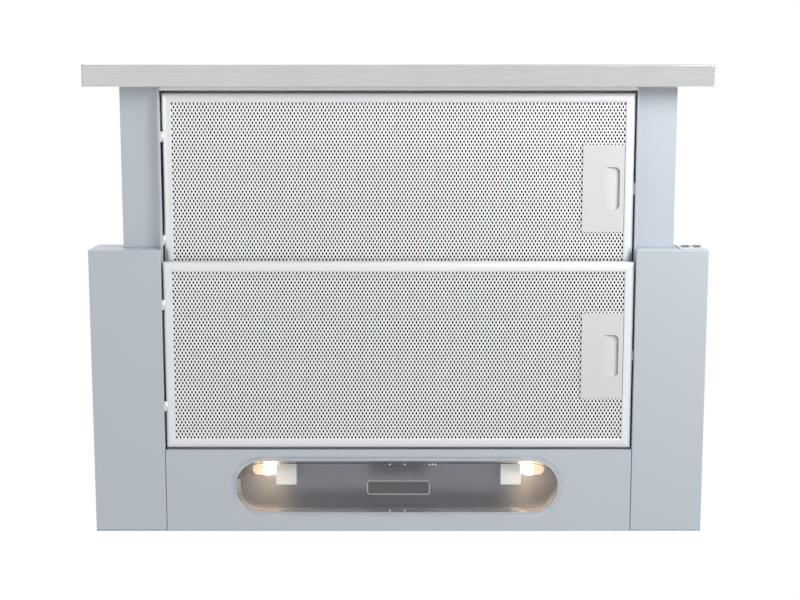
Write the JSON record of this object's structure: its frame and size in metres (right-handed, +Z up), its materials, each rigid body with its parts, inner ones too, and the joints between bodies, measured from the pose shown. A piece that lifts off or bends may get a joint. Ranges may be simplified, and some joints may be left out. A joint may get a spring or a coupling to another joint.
{
  "type": "pull-out range hood",
  "caption": "Slide-out cooker hood with a casing on two columns, a drawer on ball runners with its own grease filter, a fixed filter, a lamp cover, a blower and a round duct outlet.",
  "frame": {"origin": "middle of the lower edge of the rear panel, on the face that goes against the wall", "axes": "+Z up through the duct outlet, +Y into the wall, +X towards the hood's right as seen by someone facing it; the drawer pulls out towards -Y and is stored pulled out"},
  "size_m": [0.598, 0.455, 0.1838],
  "materials": {
    "silver_paint": "satin metallic paint",
    "brushed_strip": "brushed lengthwise",
    "cap_plastic": "satin",
    "zinc_steel": "zinc plated",
    "spring_steel": "plain",
    "reflector": "satin",
    "ceramic": "glazed",
    "bulb_glass": "clear",
    "lens_clear": "smooth",
    "label_foil": "satin foil, blank",
    "blower_plastic": "matt",
    "motor_steel": "satin",
    "bush_rubber": "matt",
    "white_plastic": "satin",
    "cable": "matt",
    "fascia_plastic": "satin",
    "knob_plastic": "silver lacquer",
    "filter_frame": "bright anodised",
    "filter_mesh": "expanded metal",
    "handle_plastic": "satin"
  },
  "bodies": {
    "casing": {"side_box_left": "silver_paint", "side_box_right": "silver_paint", "rear_panel": "silver_paint", "lamp_panel": "silver_paint", "housing_front": "silver_paint", "housing_left": "silver_paint", "housing_right": "silver_paint", "housing_top": "silver_paint", "runner_fixed_left": "zinc_steel", "runner_fixed_right": "zinc_steel", "lamp_reflector": "reflector", "lampholder_left": "ceramic", "lampholder_right": "ceramic", "bulb_left": "bulb_glass", "bulb_right": "bulb_glass", "lens_catch": "spring_steel", "scroll_housing": "blower_plastic", "scroll_cover": "blower_plastic", "fan_motor": "motor_steel", "motor_bushes": "bush_rubber", "capacitor": "white_plastic", "terminal_box": "white_plastic", "cable_gland": "blower_plastic", "wiring_harness": "cable", "duct_spigot": "blower_plastic", "control_fascia": "fascia_plastic", "switch_block": "white_plastic", "housing_screws": "zinc_steel"},
    "drawer": {"drawer_rail_left": "silver_paint", "drawer_rail_right": "silver_paint", "drawer_front_bar": "silver_paint", "drawer_cross_bar": "silver_paint", "drawer_top": "silver_paint", "front_strip": "brushed_strip", "strip_cap_left": "cap_plastic", "strip_cap_right": "cap_plastic", "strip_screws": "zinc_steel", "runner_moving_left": "zinc_steel", "runner_moving_right": "zinc_steel"},
    "left_ball_cage": {"ball_cage_left": "spring_steel"},
    "right_ball_cage": {"ball_cage_right": "spring_steel"},
    "fixed_filter": {"fixed_filter_frame": "filter_frame", "fixed_filter_mesh": "filter_mesh", "fixed_filter_pack": "filter_mesh", "fixed_filter_springs": "spring_steel"},
    "fixed_latch": {"fixed_filter_handle": "handle_plastic"},
    "drawer_filter": {"drawer_filter_frame": "filter_frame", "drawer_filter_mesh": "filter_mesh", "drawer_filter_pack": "filter_mesh", "drawer_filter_springs": "spring_steel"},
    "drawer_latch": {"drawer_filter_handle": "handle_plastic"},
    "lamp_cover": {"lens": "lens_clear", "lens_label": "label_foil"},
    "light_switch": {"light_slider": "knob_plastic"},
    "speed_switch": {"speed_slider": "knob_plastic"},
    "fan": {"impeller": "blower_plastic", "impeller_hub": "blower_plastic", "motor_shaft": "spring_steel"},
    "left_flap": {"flap_left": "white_plastic"},
    "right_flap": {"flap_right": "white_plastic"}
  },
  "joints": [
    {"name": "drawer_slide", "type": "slide", "parent": "casing", "child": "drawer", "axis": [0, -1, 0], "range_m": [-0.154, 0]},
    {"name": "left_cage_roll", "type": "slide", "parent": "casing", "child": "left_ball_cage", "axis": [0, -1, 0], "range_m": [-0.077, 0]},
    {"name": "right_cage_roll", "type": "slide", "parent": "casing", "child": "right_ball_cage", "axis": [0, -1, 0], "range_m": [-0.077, 0]},
    {"name": "fixed_filter_swing", "type": "hinge", "parent": "casing", "child": "fixed_filter", "pos_m": [-0.2265, -0.1755, 0.0021], "axis": [0, 1, 0], "range_deg": [0, 45]},
    {"name": "fixed_latch_slide", "type": "slide", "parent": "fixed_filter", "child": "fixed_latch", "axis": [-1, 0, 0], "range_m": [0, 0.005], "stiffness_N_per_m": 300, "springref_m": -0.01, "deforming": ["fixed_filter_springs"]},
    {"name": "drawer_filter_swing", "type": "hinge", "parent": "drawer", "child": "drawer_filter", "pos_m": [-0.2265, -0.3368, 0.0166], "axis": [0, 1, 0], "range_deg": [0, 45]},
    {"name": "drawer_latch_slide", "type": "slide", "parent": "drawer_filter", "child": "drawer_latch", "axis": [-1, 0, 0], "range_m": [0, 0.005], "stiffness_N_per_m": 300, "springref_m": -0.01, "deforming": ["drawer_filter_springs"]},
    {"name": "lamp_cover_swing", "type": "hinge", "parent": "casing", "child": "lamp_cover", "pos_m": [0.16015, -0.0454, -0.0008], "axis": [0, -1, 0], "range_deg": [0, 60]},
    {"name": "light_slide", "type": "slide", "parent": "casing", "child": "light_switch", "axis": [0, 0, 1], "range_m": [0, 0.007]},
    {"name": "speed_slide", "type": "slide", "parent": "casing", "child": "speed_switch", "axis": [0, 0, 1], "range_m": [0, 0.012]},
    {"name": "fan_spin", "type": "hinge", "parent": "casing", "child": "fan", "pos_m": [-0.135, -0.132, 0.1], "axis": [0, 0, 1], "continuous": true},
    {"name": "left_flap_swing", "type": "hinge", "parent": "casing", "child": "left_flap", "pos_m": [-0.0026, -0.0825, 0.1597], "axis": [0, 1, 0], "range_deg": [0, 80]},
    {"name": "right_flap_swing", "type": "hinge", "parent": "casing", "child": "right_flap", "pos_m": [0.0026, -0.0825, 0.1597], "axis": [0, -1, 0], "range_deg": [0, 80]}
  ],
  "couplings": [
    {"joint": "left_cage_roll", "follows": "drawer_slide", "ratio": 0.5},
    {"joint": "right_cage_roll", "follows": "drawer_slide", "ratio": 0.5},
    {"joint": "drawer_filter_swing", "follows": "fixed_filter_swing", "ratio": 1}
  ]
}
